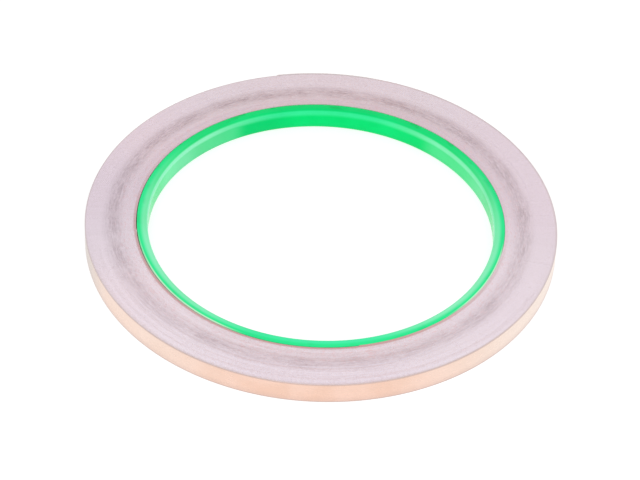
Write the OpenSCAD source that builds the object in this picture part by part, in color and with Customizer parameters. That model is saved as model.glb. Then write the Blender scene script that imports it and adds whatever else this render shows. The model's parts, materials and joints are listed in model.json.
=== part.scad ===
// Roll of adhesive copper foil tape on a moulded plastic core.
//
// The tape is one continuous strip made of three layers: a paper release liner on the
// inside, an adhesive film, and the copper foil on the outside. It is wound on the core
// as a spiral of half turns. The half turns on one side of the X axis are centred a
// quarter of a pitch left of the roll's axis, and those on the other side a quarter of a
// pitch right of it, so each half turn runs straight into the next one.
//
// The outer end of the strip comes off the roll. It lifts as a whole about its root, and
// the foil peels from the liner about a second line, further along.
//
// Millimetres. The origin is on the roll's axis, in the face that the roll lies on.

/* [Tape] */
// Width of the tape, which is the height of the roll
tape_w = 5; // [3:0.5:12]
// Thickness of the copper foil
foil_t = 0.036; // [0.025:0.001:0.04]
// Thickness of the adhesive film
adhesive_t = 0.034; // [0.02:0.001:0.036]
// Thickness of the paper release liner
liner_t = 0.138; // [0.05:0.002:0.14]
// Radial distance from one turn to the next
pitch = 0.22; // [0.22:0.002:0.28]
// Number of turns on the core, in half turns
turns = 51.5; // [10:0.5:80]

/* [Core] */
// Bore of the core, a clearance for a 3 inch spindle
bore_d = 76.2; // [50:0.1:90]
// Wall thickness of the core
core_wall = 2.4; // [1.5:0.1:5]
// Rounding of the bore's two edges
bore_round = 0.8; // [0.1:0.1:1]
// Chamfer of the core's two outer edges
seat_chamfer = 0.15; // [0.05:0.05:0.4]

/* [Free end] */
// Angle of the roll that the free end covers, from its root to its tip
end_span = 26; // [15:1:40]
// Angle of the roll from the root to the line where the foil peels off the liner
peel_span = 9; // [5:1:12]
// Angle at which the root stands, anticlockwise from +X
root_angle = 77; // [0:1:150]

/* [Hidden] */

$fn = 96;

bore_r = bore_d / 2;
core_r = bore_r + core_wall;
// The winding's first turn starts this far outside the core
seat_gap = 0.06;
wind_r = core_r + seat_gap;
half_turns = 2 * turns;
// The winding starts here, so that its end comes to the tip of the free end
start_angle = root_angle + end_span + 180 * (half_turns % 2);
// Air between two layers that lie on each other
film_gap = 0.002;
// Inner face of each layer, measured from the inner face of its own turn
liner_in = film_gap;
adhesive_in = liner_in + liner_t + film_gap;
foil_in = adhesive_in + adhesive_t + film_gap;
// Angle of the slits that part the free end from the winding and the peeled foil from its root
slit = 0.12;
// The free end lies this much further out than the spiral would carry it
end_lift = 0.04;

// A strip of thickness t whose inner face has radius r, from angle a, over the angle b
module arc(r, t, a, b)
    rotate([0, 0, a])
        rotate_extrude(angle = b)
            translate([r, 0])
                square([t, tape_w]);

// Half turn number k of a layer that starts at radius r; over is its angle
module half_turn(k, r, t, from = 0, over = 180)
    translate([(k % 2 == 0 ? -1 : 1) * pitch / 4, 0, 0])
        arc(r + k * pitch / 2, t, 180 * (k % 2) + from, over);

// One layer of the tape on the core, without its free end. The strip ends end_span
// short of a whole turn.
module wound(inset, t)
    rotate([0, 0, start_angle])
        union() {
            for (k = [0 : half_turns - 2])
                half_turn(k, wind_r + inset, t);
            half_turn(half_turns - 1, wind_r + inset, t, 0, 180 - end_span);
        }

// One layer of the free end, from angle a past the root, over the angle b
module free_end(inset, t, a, b)
    rotate([0, 0, start_angle])
        half_turn(half_turns - 1, wind_r + end_lift + inset, t, 180 - end_span + a, b);

module core()
    color("#0bd878")
        rotate_extrude()
            difference() {
                translate([bore_r, 0])
                    square([core_wall, tape_w]);
                for (z = [0, tape_w])
                    mirror([0, z > 0 ? 1 : 0])
                        translate([0, z > 0 ? -tape_w : 0]) {
                            difference() {
                                translate([bore_r - 1, -1])
                                    square([1 + bore_round, 1 + bore_round]);
                                translate([bore_r + bore_round, bore_round])
                                    circle(r = bore_round);
                            }
                            polygon([
                                [core_r - seat_chamfer, 0],
                                [core_r - seat_chamfer, -1],
                                [core_r + 1, -1],
                                [core_r + 1, seat_chamfer],
                                [core_r, seat_chamfer]
                            ]);
                        }
            }

module wound_liner()
    color("#e9dfe6")
        wound(liner_in, liner_t);

module wound_adhesive()
    color("#cfc0b6")
        wound(adhesive_in, adhesive_t);

module wound_foil()
    color("#f3c3a4")
        wound(foil_in, foil_t);

module end_liner()
    color("#e9dfe6")
        free_end(liner_in, liner_t, slit, end_span - slit);

module end_adhesive_root()
    color("#cfc0b6")
        free_end(adhesive_in, adhesive_t, slit, peel_span - slit);

module end_foil_root()
    color("#f3c3a4")
        free_end(foil_in, foil_t, slit, peel_span - slit);

module end_adhesive_tip()
    color("#cfc0b6")
        free_end(adhesive_in, adhesive_t, peel_span + slit, end_span - peel_span - slit);

module end_foil_tip()
    color("#f3c3a4")
        free_end(foil_in, foil_t, peel_span + slit, end_span - peel_span - slit);

core();
wound_liner();
wound_adhesive();
wound_foil();
end_liner();
end_adhesive_root();
end_foil_root();
end_adhesive_tip();
end_foil_tip();
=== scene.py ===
import json
import math

import bpy
import numpy as np
from mathutils import Matrix, Vector


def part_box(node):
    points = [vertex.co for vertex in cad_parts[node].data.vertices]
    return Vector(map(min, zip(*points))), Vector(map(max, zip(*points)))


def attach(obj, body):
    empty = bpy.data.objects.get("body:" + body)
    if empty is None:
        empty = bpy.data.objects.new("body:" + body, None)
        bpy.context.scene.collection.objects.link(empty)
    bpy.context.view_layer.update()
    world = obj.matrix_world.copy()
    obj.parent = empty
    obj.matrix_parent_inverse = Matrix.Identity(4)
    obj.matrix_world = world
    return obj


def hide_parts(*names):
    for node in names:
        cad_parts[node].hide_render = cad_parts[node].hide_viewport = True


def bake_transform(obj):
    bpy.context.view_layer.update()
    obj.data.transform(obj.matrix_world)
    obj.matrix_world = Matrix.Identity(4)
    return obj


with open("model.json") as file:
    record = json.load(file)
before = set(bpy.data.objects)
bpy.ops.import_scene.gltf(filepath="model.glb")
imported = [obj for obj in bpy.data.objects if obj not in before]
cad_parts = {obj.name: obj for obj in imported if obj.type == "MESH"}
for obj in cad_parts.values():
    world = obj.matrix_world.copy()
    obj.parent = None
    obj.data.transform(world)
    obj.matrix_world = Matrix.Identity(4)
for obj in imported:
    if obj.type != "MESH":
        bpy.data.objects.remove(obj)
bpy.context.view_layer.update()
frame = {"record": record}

MM = 0.001
TURN = 2 * math.pi
rng = np.random.default_rng(20261)

# ---------------------------------------------------------------- sizes
core_low, core_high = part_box("core")
CORE_R = (core_high.x - core_low.x) / 2
TAPE_W = core_high.z
BORE_R = frame["record"]["mounts"][0]["dims"]["r_mm"] * MM
BORE_ROUND = 0.8 * MM
SEAT_ROUND = 0.15 * MM
# The tape's layers: the inset of each one's inner face in its own turn, and its thickness
LINER = (0.002 * MM, 0.138 * MM)
ADHESIVE = (0.142 * MM, 0.034 * MM)
FOIL = (0.178 * MM, 0.036 * MM)
PITCH = 0.220 * MM
HALF_TURNS = 103
WIND_R = CORE_R + 0.06 * MM
OUTER_R = WIND_R + sum(FOIL) + (HALF_TURNS - 1) * PITCH / 2
# Angles on the roll: where the free end has its root, how much of the roll it covers, and
# how far from its root the foil peels off the liner
ROOT, SPAN, PEEL = (math.radians(a) for a in (77.0, 26.0, 9.0))
# Where the spiral starts, and where its wound part ends as an angle along it
START = ROOT + SPAN + math.pi * (HALF_TURNS % 2)
END = HALF_TURNS * math.pi - SPAN
# The tape's edges keep this far inside the roll's two sides
LOW_GAP, HIGH_GAP = 0.02 * MM, 0.03 * MM


# ---------------------------------------------------------------- meshes
def new_object(name, verts, faces, smooth=True):
    mesh = bpy.data.meshes.new(name)
    mesh.from_pydata(np.asarray(verts).tolist(), [], faces)
    mesh.update()
    ob = bpy.data.objects.new(name, mesh)
    bpy.context.scene.collection.objects.link(ob)
    mesh.polygons.foreach_set("use_smooth", [smooth] * len(mesh.polygons))
    return ob


def spiral(phi, inset):
    """Centre and radius of the spiral at angles phi along it, and the angle on the roll there."""
    half_turn = np.minimum(np.floor(phi / math.pi + 1e-9), HALF_TURNS - 1)
    side = np.where(half_turn % 2 == 0, -1.0, 1.0) * PITCH / 4
    radius = WIND_R + inset + half_turn * PITCH / 2
    return side * math.cos(START), side * math.sin(START), radius, phi + START


def strip(name, phi, layer, low, high, lift=0.0, bevel=0.0, rows=1):
    """A closed strip of one layer along the spiral. low and high are the heights of its edges
    at each phi, and lift moves it outwards there. rows is the number of faces up its outer
    side, whose edges the bevel cuts."""
    inner = layer[0] + lift
    outer = layer[0] + layer[1] + lift
    section = [(outer - bevel, low)]
    if bevel:
        section.append((outer, low + bevel))
    for h in np.linspace(0, 1, rows + 1)[1:-1]:
        section.append((outer, low + (high - low) * h))
    if bevel:
        section.append((outer, high - bevel))
    section += [(outer - bevel, high), (inner, high), (inner, low)]
    n, m = len(phi), len(section)
    verts = np.zeros((n, m, 3))
    for j, (inset, z) in enumerate(section):
        cx, cy, r, a = spiral(phi, inset)
        verts[:, j, 0] = cx + r * np.cos(a)
        verts[:, j, 1] = cy + r * np.sin(a)
        verts[:, j, 2] = z
    i = np.arange(n - 1)[:, None] * m
    j = np.arange(m)[None, :]
    a, b = i + j, i + (j + 1) % m
    faces = np.stack([a, a + m, b + m, b], axis=-1).reshape(-1, 4).tolist()
    faces.append(list(range(m)))
    faces.append([(n - 1) * m + j for j in reversed(range(m))])
    return new_object(name, verts.reshape(-1, 3), faces, smooth=False)


def lathe(name, profile, segments):
    """A closed ring from a closed profile of (radius, z) points, listed anticlockwise."""
    m = len(profile)
    p = np.array(profile)
    angle = np.arange(segments) * TURN / segments
    verts = np.zeros((segments, m, 3))
    verts[:, :, 0] = p[None, :, 0] * np.cos(angle)[:, None]
    verts[:, :, 1] = p[None, :, 0] * np.sin(angle)[:, None]
    verts[:, :, 2] = p[None, :, 1]
    i = np.arange(segments)[:, None] * m
    following = (np.arange(segments)[:, None] + 1) % segments * m
    j = np.arange(m)[None, :]
    k = (j + 1) % m
    faces = np.stack([i + j, following + j, following + k, i + k], axis=-1).reshape(-1, 4)
    return new_object(name, verts.reshape(-1, 3), faces.tolist())


def corner(cx, cz, r, start, stop, steps):
    """Points of a rounding in a lathe's profile, from one angle in degrees to another."""
    angles = np.linspace(math.radians(start), math.radians(stop), steps)
    return [(cx + r * math.cos(a), cz + r * math.sin(a)) for a in angles]


# ---------------------------------------------------------------- materials
class Nodes:
    """One node material. Its patterns are placed by z, the height in metres, r, the distance
    from the roll's axis in metres, and x and y, the direction from that axis from -1 to 1."""

    def __init__(self, name):
        self.mat = bpy.data.materials.new(name)
        self.mat.use_nodes = True
        self.tree = self.mat.node_tree
        self.shader = self.tree.nodes["Principled BSDF"]
        self.point = self.new("ShaderNodeTexCoord").outputs["Object"]
        parts = self.new("ShaderNodeSeparateXYZ")
        self.link(self.point, parts.inputs[0])
        x, y, self.z = parts.outputs
        self.r = self.math("SQRT", self.plus(self.times(x, x), self.times(y, y)))
        self.x = self.math("DIVIDE", x, self.r)
        self.y = self.math("DIVIDE", y, self.r)

    def new(self, kind):
        return self.tree.nodes.new(kind)

    def link(self, a, b):
        self.tree.links.new(a, b)

    def feed(self, socket, value):
        """Set a socket to a number or a colour, or link it to another socket."""
        if isinstance(value, (int, float)):
            socket.default_value = value
        elif isinstance(value, tuple):
            socket.default_value = (*value, 1.0)
        else:
            self.link(value, socket)

    def set(self, name, value):
        self.feed(self.shader.inputs[name], value)

    def math(self, operation, *values, clamp=False):
        node = self.new("ShaderNodeMath")
        node.operation = operation
        node.use_clamp = clamp
        for socket, value in zip(node.inputs, values):
            self.feed(socket, value)
        return node.outputs[0]

    def plus(self, a, b):
        return self.math("ADD", a, b)

    def most(self, a, b):
        return self.math("MAXIMUM", a, b)

    def times(self, first, *others, clamp=False):
        for other in others:
            first = self.math("MULTIPLY", first, other, clamp=clamp)
        return first

    def wrapped(self, around, out, up=0.0):
        """Coordinates for a pattern that runs round the roll: around is its scale along the
        tape, out its scale from turn to turn and up its scale along the axis."""
        node = self.new("ShaderNodeCombineXYZ")
        across = self.plus(self.times(self.r, out), self.times(self.z, up))
        values = (self.times(self.x, around), self.times(self.y, around), across)
        for socket, value in zip(node.inputs, values):
            self.link(value, socket)
        return node.outputs[0]

    def noise(self, vector, scale, detail=3.0, rough=0.55):
        node = self.new("ShaderNodeTexNoise")
        self.link(vector, node.inputs["Vector"])
        node.inputs["Scale"].default_value = scale
        node.inputs["Detail"].default_value = detail
        node.inputs["Roughness"].default_value = rough
        return node.outputs["Fac"]

    def span(self, value, start, stop, low=0.0, high=1.0, smooth=True):
        """low where the value is at or before start, high at or past stop, and between them
        a ramp from one to the other. start may be the larger one."""
        node = self.new("ShaderNodeMapRange")
        node.interpolation_type = "SMOOTHSTEP" if smooth else "LINEAR"
        self.link(value, node.inputs["Value"])
        for key, x in zip(("From Min", "From Max", "To Min", "To Max"), (start, stop, low, high)):
            node.inputs[key].default_value = x
        return node.outputs["Result"]

    def mix(self, amount, a, b):
        node = self.new("ShaderNodeMix")
        node.data_type = "RGBA"
        for k, value in ((0, amount), (6, a), (7, b)):
            self.feed(node.inputs[k], value)
        return node.outputs[2]

    def bump(self, height, strength, distance):
        node = self.new("ShaderNodeBump")
        node.inputs["Strength"].default_value = strength
        node.inputs["Distance"].default_value = distance
        self.link(height, node.inputs["Height"])
        self.link(node.outputs[0], self.shader.inputs["Normal"])


def make_core():
    """Glossy moulded plastic, clear green, with painted reflections, a painted highlight and painted
    shade.
    """
    n = Nodes("green_plastic")
    x, y, z, r = n.x, n.y, n.z, n.r
    on_wall = n.span(r, BORE_R + 0.20 * MM, BORE_R + 0.02 * MM)
    on_flat = n.span(r, BORE_R + 0.7 * MM, BORE_R + 1.2 * MM)
    cloud = n.noise(n.point, 55.0, 4.0)
    green = n.mix(n.span(cloud, 0.3, 0.7), (0.001, 0.69, 0.16), (0.005, 0.79, 0.21))

    # The flat face has deeper patches a few millimetres long, and painted light makes it brighter at
    # the front
    patch = n.span(n.noise(n.wrapped(9.0, 400.0), 1.0, 2.0, 0.5), 0.54, 0.68, 0.0, 0.7)
    green = n.mix(n.times(on_flat, patch), green, (0.002, 0.56, 0.12))
    green = n.mix(n.times(on_flat, n.span(y, 0.9, 0.1, 0.0, 0.45)), green, (0.06, 0.90, 0.40))

    # Painted shade: the bore's wall is darker left of the middle of its back, and a painted contact
    # shadow darkens the core's foot
    shade = n.times(n.span(x, -0.15, -0.36, 0.0, 0.55), on_wall, n.span(y, 0.4, 0.6))
    green = n.mix(shade, green, (0.001, 0.52, 0.14))
    green = n.mix(n.span(z, 1.8 * MM, 0.4 * MM, 0.0, 0.35), green, (0.01, 0.52, 0.17))

    # Painted reflections make it pale on the wall at either side and on the flat face next to the
    # bore, and a painted highlight runs in a line along the rounding of the bore's edge
    left = n.plus(n.span(x, -0.46, -0.56, 0.0, 0.25), n.span(x, -0.70, -0.84, 0.0, 0.15))
    left = n.times(left, n.span(x, -0.90, -0.98, 1.0, 0.4))
    right = n.plus(n.span(x, 0.56, 0.66, 0.0, 0.20), n.span(x, 0.82, 0.95, 0.0, 0.14))
    right = n.times(right, n.span(x, 0.93, 0.99, 1.0, 0.3))
    sides = n.times(n.most(left, right), on_wall)
    highlight_line = n.times(
        n.span(z, TAPE_W - 1.80 * MM, TAPE_W - 0.65 * MM),
        n.span(z, TAPE_W, TAPE_W - 0.30 * MM),
        n.most(n.span(x, 0.45, 0.75, 0.42, 0.60), n.span(x, -0.45, -0.75, 0.42, 0.72)),
    )
    lip_reflection = n.times(
        n.span(r, BORE_R + 1.95 * MM, BORE_R + 0.80 * MM),
        n.span(z, TAPE_W - 0.70 * MM, TAPE_W - 0.20 * MM),
        n.span(y, 0.8, -0.4, 0.02, 0.62),
    )
    painted_reflection = n.times(n.most(n.most(sides, highlight_line), lip_reflection), n.span(cloud, 0.25, 0.7, 0.85, 1.1))
    wide = n.math("ABSOLUTE", x)
    tint = n.mix(n.span(wide, 0.25, 0.75), (0.09, 0.93, 0.50), (0.40, 0.95, 0.68))
    green = n.mix(painted_reflection, green, tint)

    # A painted highlight makes the outer edge pale at the left and the right of the front
    edge_highlight = n.times(
        n.span(r, CORE_R - 0.40 * MM, CORE_R - 0.15 * MM),
        n.span(z, TAPE_W - 0.30 * MM, TAPE_W - 0.10 * MM),
        n.most(n.span(n.math("ABSOLUTE", n.plus(x, 0.70)), 0.34, 0.16), n.span(x, 0.66, 0.84)),
        n.span(y, -0.10, -0.28, 0.0, 0.7),
    )
    n.set("Base Color", n.mix(edge_highlight, green, (0.80, 0.92, 0.78)))

    n.set("IOR", 1.25)
    n.set("Specular IOR Level", 0.5)
    n.set("Specular Tint", (0.02, 1.0, 0.35))
    fine = n.noise(n.point, 900.0, 2.0)
    n.set("Roughness", n.span(fine, 0.2, 0.8, 0.16, 0.26))
    n.bump(n.plus(n.noise(n.point, 120.0, 3.0), n.times(fine, 0.15)), 0.25, 0.25 * MM)
    return n.mat


def dull_band(n, t):
    """How much the dull band of the winding shows, from 0 to 1, where t is the place between
    the core at 0 and the outermost turn at 1. The band lies further out at the left and the
    front than at the right and the back."""
    shift = n.plus(n.times(n.x, 0.044), n.times(n.y, 0.022))
    place = n.plus(n.plus(t, shift), -0.026)
    return n.times(n.span(place, 0.13, 0.36), n.span(place, 0.38, 0.65, 1.0, 0.0))


def make_liner():
    """The cut edge of the paper, seen as the side of the winding."""
    n = Nodes("liner_paper")
    x, y, r = n.x, n.y, n.r
    t = n.span(r, WIND_R, OUTER_R, smooth=False)
    base = n.mix(n.span(t, 0.46, 0.62), (0.85, 0.755, 0.845), (0.885, 0.80, 0.91))

    # Grains along the cut, some darker and some lighter
    grain = n.noise(n.wrapped(90.0, 2200.0), 1.0, 3.0, 0.7)
    base = n.mix(n.span(grain, 0.30, 0.55, 0.50, 0.0), base, (0.72, 0.60, 0.67))
    base = n.mix(n.span(grain, 0.50, 0.75, 0.0, 0.5), base, (0.99, 0.92, 0.98))

    # Warmer at either side, lighter at the front's sides, and darker inside at the back
    wide = n.math("ABSOLUTE", x)
    base = n.mix(n.span(wide, 0.4, 0.9, 0.0, 0.5), base, (0.90, 0.71, 0.84))
    light = n.times(n.span(wide, 0.25, 0.65), n.span(y, 0.15, -0.25, 0.0, 0.30))
    base = n.mix(light, base, (1.0, 0.93, 1.0))
    dark = n.times(n.span(t, 0.28, 0.12), n.span(y, -0.1, 0.5, 0.0, 0.45))
    base = n.mix(dark, base, (0.66, 0.52, 0.63))

    # The inner turns have a blush of copper
    blush = n.span(n.noise(n.wrapped(40.0, 2600.0), 1.0, 2.0), 0.50, 0.72, 0.0, 0.55)
    base = n.mix(n.times(n.span(t, 0.60, 0.30), blush), base, (0.86, 0.55, 0.60))

    # The dull band is made of streaks and flecks, comes and goes along the tape, and is
    # stronger at the back
    streaks = n.span(n.noise(n.wrapped(8.0, 2200.0), 1.0, 4.0, 0.65), 0.36, 0.64, 0.06, 0.42)
    flecks = n.span(n.noise(n.wrapped(36.0, 3600.0), 1.0, 3.0, 0.60), 0.36, 0.62, 0.12, 0.48)
    patches = n.span(n.noise(n.wrapped(6.0, 160.0), 1.0, 2.0), 0.30, 0.65, 0.45, 0.85)
    strength = n.times(dull_band(n, t), patches, n.span(y, -0.6, 0.9, 0.85, 1.2))
    dull = n.times(strength, n.plus(streaks, flecks), clamp=True)
    base = n.mix(dull, base, (0.33, 0.235, 0.30))

    # Painted shade with a painted reflection of copper makes the first turns redder at the gap at
    # the core, most at the front
    first = n.span(r, WIND_R + 0.85 * MM, WIND_R + 0.45 * MM)
    front = n.span(n.plus(n.times(x, 0.4), y), 0.5, -0.9, 0.12, 0.90)
    base = n.mix(n.times(first, front), base, (0.56, 0.27, 0.26))

    # The outermost turns are a little darker
    outermost_darkening = n.span(r, OUTER_R - 0.55 * MM, OUTER_R - 0.20 * MM, 0.0, 0.45)
    n.set("Base Color", n.mix(outermost_darkening, base, (0.56, 0.46, 0.44)))
    n.set("Roughness", 0.75)
    n.set("Specular IOR Level", 0.3)
    return n.mat


def make_foil(name, edge_darkening):
    """Bright rolled copper. The second argument is how much darker its two edges are, from 0 to 1;
    at the lower edge that is painted contact shade.
    """
    n = Nodes(name)
    x, z = n.x, n.z
    lines = n.noise(n.wrapped(25.0, 0.0, 6000.0), 1.0, 4.0, 0.65)
    cloud = n.noise(n.point, 140.0, 4.0)
    base = n.mix(n.span(cloud, 0.3, 0.7), (0.825, 0.565, 0.45), (0.875, 0.625, 0.52))

    # Painted sheen, pale toward either side of the roll, and painted shade, greyer at the far left
    # and darker at the foot
    painted_sheen = n.most(n.span(x, 0.20, 0.95, 0.0, 0.80), n.span(x, -0.20, -0.70, 0.0, 0.46))
    base = n.mix(painted_sheen, base, (0.87, 0.77, 0.70))
    base = n.mix(n.span(x, -0.86, -1.0, 0.0, 0.85), base, (0.56, 0.51, 0.48))
    base = n.mix(n.span(z, 1.8 * MM, 0.4 * MM, 0.0, 0.22), base, (0.55, 0.42, 0.39))

    # Painted contact shade darkens the lower edge, and the upper edge is darker too
    low_edge = n.span(z, 0.40 * MM, 0.10 * MM)
    high_edge = n.span(z, TAPE_W - 0.55 * MM, TAPE_W - 0.20 * MM)
    base = n.mix(n.times(n.most(low_edge, high_edge), edge_darkening), base, (0.55, 0.42, 0.39))
    base = n.mix(n.span(lines, 0.40, 0.20, 0.0, 0.35), base, (0.66, 0.45, 0.38))
    n.set("Base Color", base)
    n.set("Metallic", 1.0)
    n.set("Roughness", n.span(lines, 0.25, 0.75, 0.24, 0.38))
    n.bump(n.plus(n.times(lines, 0.4), cloud), 0.3, 0.1 * MM)
    return n.mat


def make_adhesive():
    """The cut edge of the adhesive film in the winding."""
    n = Nodes("adhesive_film")
    grain = n.noise(n.wrapped(60.0, 3000.0), 1.0, 3.0)
    n.set("Base Color", n.mix(grain, (0.58, 0.49, 0.51), (0.70, 0.61, 0.64)))
    n.set("Roughness", 0.35)
    return n.mat


def make_sheet(name, dark, light, roughness, metallic=0.0):
    """The broad face of a strip: a fine, even grain with faint lines along the tape."""
    n = Nodes(name)
    lines = n.noise(n.wrapped(30.0, 0.0, 2500.0), 1.0, 4.0, 0.6)
    speckle = n.noise(n.point, 1800.0, 3.0, 0.7)
    grain = n.plus(n.times(speckle, 0.6), n.times(lines, 0.4))
    n.set("Base Color", n.mix(n.span(grain, 0.3, 0.7), dark, light))
    n.set("Roughness", roughness)
    n.set("Metallic", metallic)
    return n.mat


core_mat, liner_mat, adhesive_mat = make_core(), make_liner(), make_adhesive()
liner_sheet_mat = make_sheet("liner_sheet", (0.80, 0.76, 0.78), (0.87, 0.84, 0.86), 0.55)
# Clear film on copper, which shows through it
adhesive_sheet_mat = make_sheet("adhesive_sheet", (0.79, 0.52, 0.42), (0.83, 0.58, 0.48), 0.35, 0.4)
foil_mat = make_foil("copper_foil", 0.75)
inner_foil_mat = make_foil("copper_foil_edges", 0.0)


def finish_piece(ob, mat, node):
    ob.data.materials.append(mat)
    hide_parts(node)


# ---------------------------------------------------------------- core
profile = (
    corner(CORE_R - SEAT_ROUND, SEAT_ROUND, SEAT_ROUND, -90, 0, 4)
    + corner(CORE_R - SEAT_ROUND, TAPE_W - SEAT_ROUND, SEAT_ROUND, 0, 90, 4)
    + corner(BORE_R + BORE_ROUND, TAPE_W - BORE_ROUND, BORE_ROUND, 90, 180, 9)
    + corner(BORE_R + BORE_ROUND, BORE_ROUND, BORE_ROUND, 180, 270, 9)
)
core = lathe("core_ring", profile, 360)
finish_piece(core, core_mat, "core")
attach(core, "roll")


# ---------------------------------------------------------------- winding
def waves(count, fewest, most, drift):
    """A function that gives smooth random heights along the spiral, mostly from -1 to 1. It
    adds waves that have fewest to most crests in a turn and drift from turn to turn."""
    terms = [
        (int(rng.integers(fewest, most)), rng.uniform(0, 6.28), rng.uniform(-1, 1) * drift)
        for _ in range(count)
    ]

    def height(p):
        waves_at = [np.sin(crests * p + phase + turn * p / TURN) for crests, phase, turn in terms]
        return sum(waves_at) / math.sqrt(count)

    return height


# Each turn stands a little higher or lower than the next one
turn_levels = np.convolve(rng.normal(0, 1, HALF_TURNS // 2 + 2), [0.25, 0.5, 0.25], mode="same")
slow_wave = waves(6, 1, 6, 1.2)
quick_wave = waves(8, 9, 40, 2.0)
LEVEL_STEP, SLOW_HEIGHT, QUICK_HEIGHT = 0.012 * MM, 0.02 * MM, 0.004 * MM
# The lower edge follows at half the height, this much further along the spiral
LOWER_PART, LOWER_SHIFT = 0.5, 2.0
# The side of the winding has a shallow dip, whose middle and width are parts of its length,
# and in which the turns differ in height by more
DIP_MIDDLE, DIP_WIDTH, DIP_DEPTH, DIP_STEPS = 0.42, 0.13, 0.06 * MM, 1.2


def drop(p):
    """How far the winding's upper edge stands below the level that HIGH_GAP gives it, at
    angles p along the spiral. It is a little above that level where this is negative."""
    dip = np.exp(-(((p / END - DIP_MIDDLE) / DIP_WIDTH) ** 2))
    level = np.interp(p / TURN, np.arange(len(turn_levels)), turn_levels) * (1 + DIP_STEPS * dip)
    flat = LEVEL_STEP * level + SLOW_HEIGHT * slow_wave(p) + QUICK_HEIGHT * quick_wave(p)
    return flat + DIP_DEPTH * dip


def along(stop):
    """Angles along the spiral up to stop, two degrees apart."""
    step = math.radians(2.0)
    return np.append(np.arange(0, stop, step), stop)


phi = along(END)
top = TAPE_W - HIGH_GAP - drop(phi)
bottom = LOW_GAP + LOWER_PART * drop(phi + LOWER_SHIFT)
ADHESIVE_DROP, FOIL_RISE = 0.01 * MM, 0.004 * MM
# The outermost turn of the foil is a piece of its own, with a bevel and a finer mesh
last = END - TURN
inner_phi = along(last)
outer_phi = np.linspace(last, END, 361)

liner = strip("liner_winding", phi, LINER, bottom, top)
finish_piece(liner, liner_mat, "wound_liner")
adhesive = strip("adhesive_winding", phi, ADHESIVE, bottom + ADHESIVE_DROP, top - ADHESIVE_DROP)
finish_piece(adhesive, adhesive_mat, "wound_adhesive")
inner_bottom, inner_top = (np.interp(inner_phi, phi, side) for side in (bottom, top))
foil = strip("foil_winding", inner_phi, FOIL, inner_bottom, inner_top + FOIL_RISE)
finish_piece(foil, inner_foil_mat, "wound_foil")
outer_bottom, outer_top = (np.interp(outer_phi, phi, side) for side in (bottom, top))
outer_foil = strip(
    "foil_outer_turn", outer_phi, FOIL, outer_bottom, outer_top + FOIL_RISE, bevel=0.008 * MM, rows=8
)
finish_piece(outer_foil, foil_mat, "wound_foil")
for piece in (liner, adhesive, foil, outer_foil):
    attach(piece, "roll")

# ---------------------------------------------------------------- free end
# It lies this much further out than the spiral, and rises to that over this angle
LIFT, LIFT_SPAN = 0.04 * MM, math.radians(2.0)
# The root and tip pieces of the adhesive and the foil meet here, and the second angle is passed to
# past_root below
SEAM, BEND = math.radians(6.0), math.radians(5.0)


def tail(name, start, stop, layer, count, mat, node):
    """One layer of the free end, from one angle past the root to another."""
    p = END + np.linspace(start, stop, count)
    rise = LIFT * np.clip((p - END) / LIFT_SPAN, 0, 1)
    low = np.full_like(p, LOW_GAP)
    high = np.full_like(p, TAPE_W - HIGH_GAP)
    piece = strip(name, p, layer, low, high, lift=rise, rows=6)
    finish_piece(piece, mat, node)
    return piece


def past_root(angle):
    """The middle of the tape's outer face at that angle past the root."""
    cx, cy, r, a = (v.item() for v in spiral(np.array([END + angle]), sum(FOIL)))
    return Vector((cx + r * math.cos(a), cy + r * math.sin(a), TAPE_W / 2))


# The liner and the root pieces rise where the end lifts; the tip pieces start at the seam
film = adhesive_sheet_mat
lifted = (
    tail("tail_liner", 0.0, SPAN, LINER, 80, liner_sheet_mat, "end_liner"),
    tail("tail_adhesive_root", 0.0, SEAM, ADHESIVE, 24, film, "end_adhesive_root"),
    tail("tail_foil_root", 0.0, SEAM, FOIL, 24, foil_mat, "end_foil_root"),
)
for piece in lifted:
    past_root(0.0)
    past_root(BEND)
    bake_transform(piece)
peeled = (
    tail("tail_adhesive_tip", SEAM, SPAN, ADHESIVE, 64, film, "end_adhesive_tip"),
    tail("tail_foil_tip", SEAM, SPAN, FOIL, 64, foil_mat, "end_foil_tip"),
)
for piece in peeled:
    past_root(PEEL)
    past_root(PEEL + BEND)
    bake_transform(piece)

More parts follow.
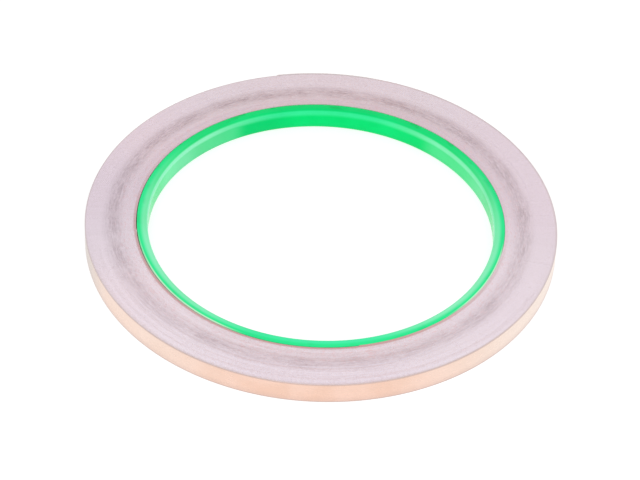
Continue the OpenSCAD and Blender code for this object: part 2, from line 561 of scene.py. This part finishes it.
# ---------------------------------------------------------------- floor and light
FLOOR, FLOOR_Z = 4.0, -0.02 * MM
corners = [(x * FLOOR, y * FLOOR, FLOOR_Z) for x, y in ((-1, -1), (1, -1), (1, 1), (-1, 1))]
floor = new_object("floor", corners, [(0, 1, 2, 3)])
floor_mat = bpy.data.materials.new("floor_white")
floor_mat.use_nodes = True
floor_shader = floor_mat.node_tree.nodes["Principled BSDF"].inputs
floor_shader["Base Color"].default_value = (0.35, 0.35, 0.35, 1)
floor_shader["Roughness"].default_value = 0.9
floor_shader["Emission Color"].default_value = (1, 1, 1, 1)
floor_shader["Emission Strength"].default_value = 0.75
floor.data.materials.append(floor_mat)

world = bpy.data.worlds.new("studio")
world.use_nodes = True
background = world.node_tree.nodes["Background"].inputs
background["Color"].default_value = (1, 1, 1, 1)
background["Strength"].default_value = 0.82
bpy.context.scene.world = world

lamp = bpy.data.lights.new("soft_front", "AREA")
lamp.shape = "SQUARE"
lamp.size = 0.3
lamp.energy = 0.46
lamp_object = bpy.data.objects.new("soft_front", lamp)
bpy.context.scene.collection.objects.link(lamp_object)
lamp_object.location = (0.0, -0.30, 0.28)
lamp_object.rotation_mode = "QUATERNION"
lamp_object.rotation_quaternion = (-lamp_object.location).to_track_quat("-Z", "Y")

# ---------------------------------------------------------------- camera
ELEVATION, ROLL, DISTANCE = math.radians(41.21), math.radians(2.479), 0.6783
CENTRE = Vector((0, 0, TAPE_W / 2))
AIM = CENTRE + Vector((-0.06 * MM, -3.75 * MM, 0))
eye = CENTRE + DISTANCE * Vector((0, -math.cos(ELEVATION), math.sin(ELEVATION)))
forward = (AIM - eye).normalized()
level_right = forward.cross(Vector((0, 0, 1))).normalized()
level_up = level_right.cross(forward)
right = level_right * math.cos(ROLL) + level_up * math.sin(ROLL)
up = level_up * math.cos(ROLL) - level_right * math.sin(ROLL)
camera_data = bpy.data.cameras.new("camera")
camera_data.lens = 173.0
camera_data.sensor_width = 36.0
camera_data.clip_start, camera_data.clip_end = 0.01, 20
camera = bpy.data.objects.new("camera", camera_data)
bpy.context.scene.collection.objects.link(camera)
turned = Matrix((right, up, -forward)).transposed()
camera.matrix_world = Matrix.Translation(eye) @ turned.to_4x4()
bpy.context.scene.camera = camera
bpy.context.scene.view_settings.view_transform = "Standard"
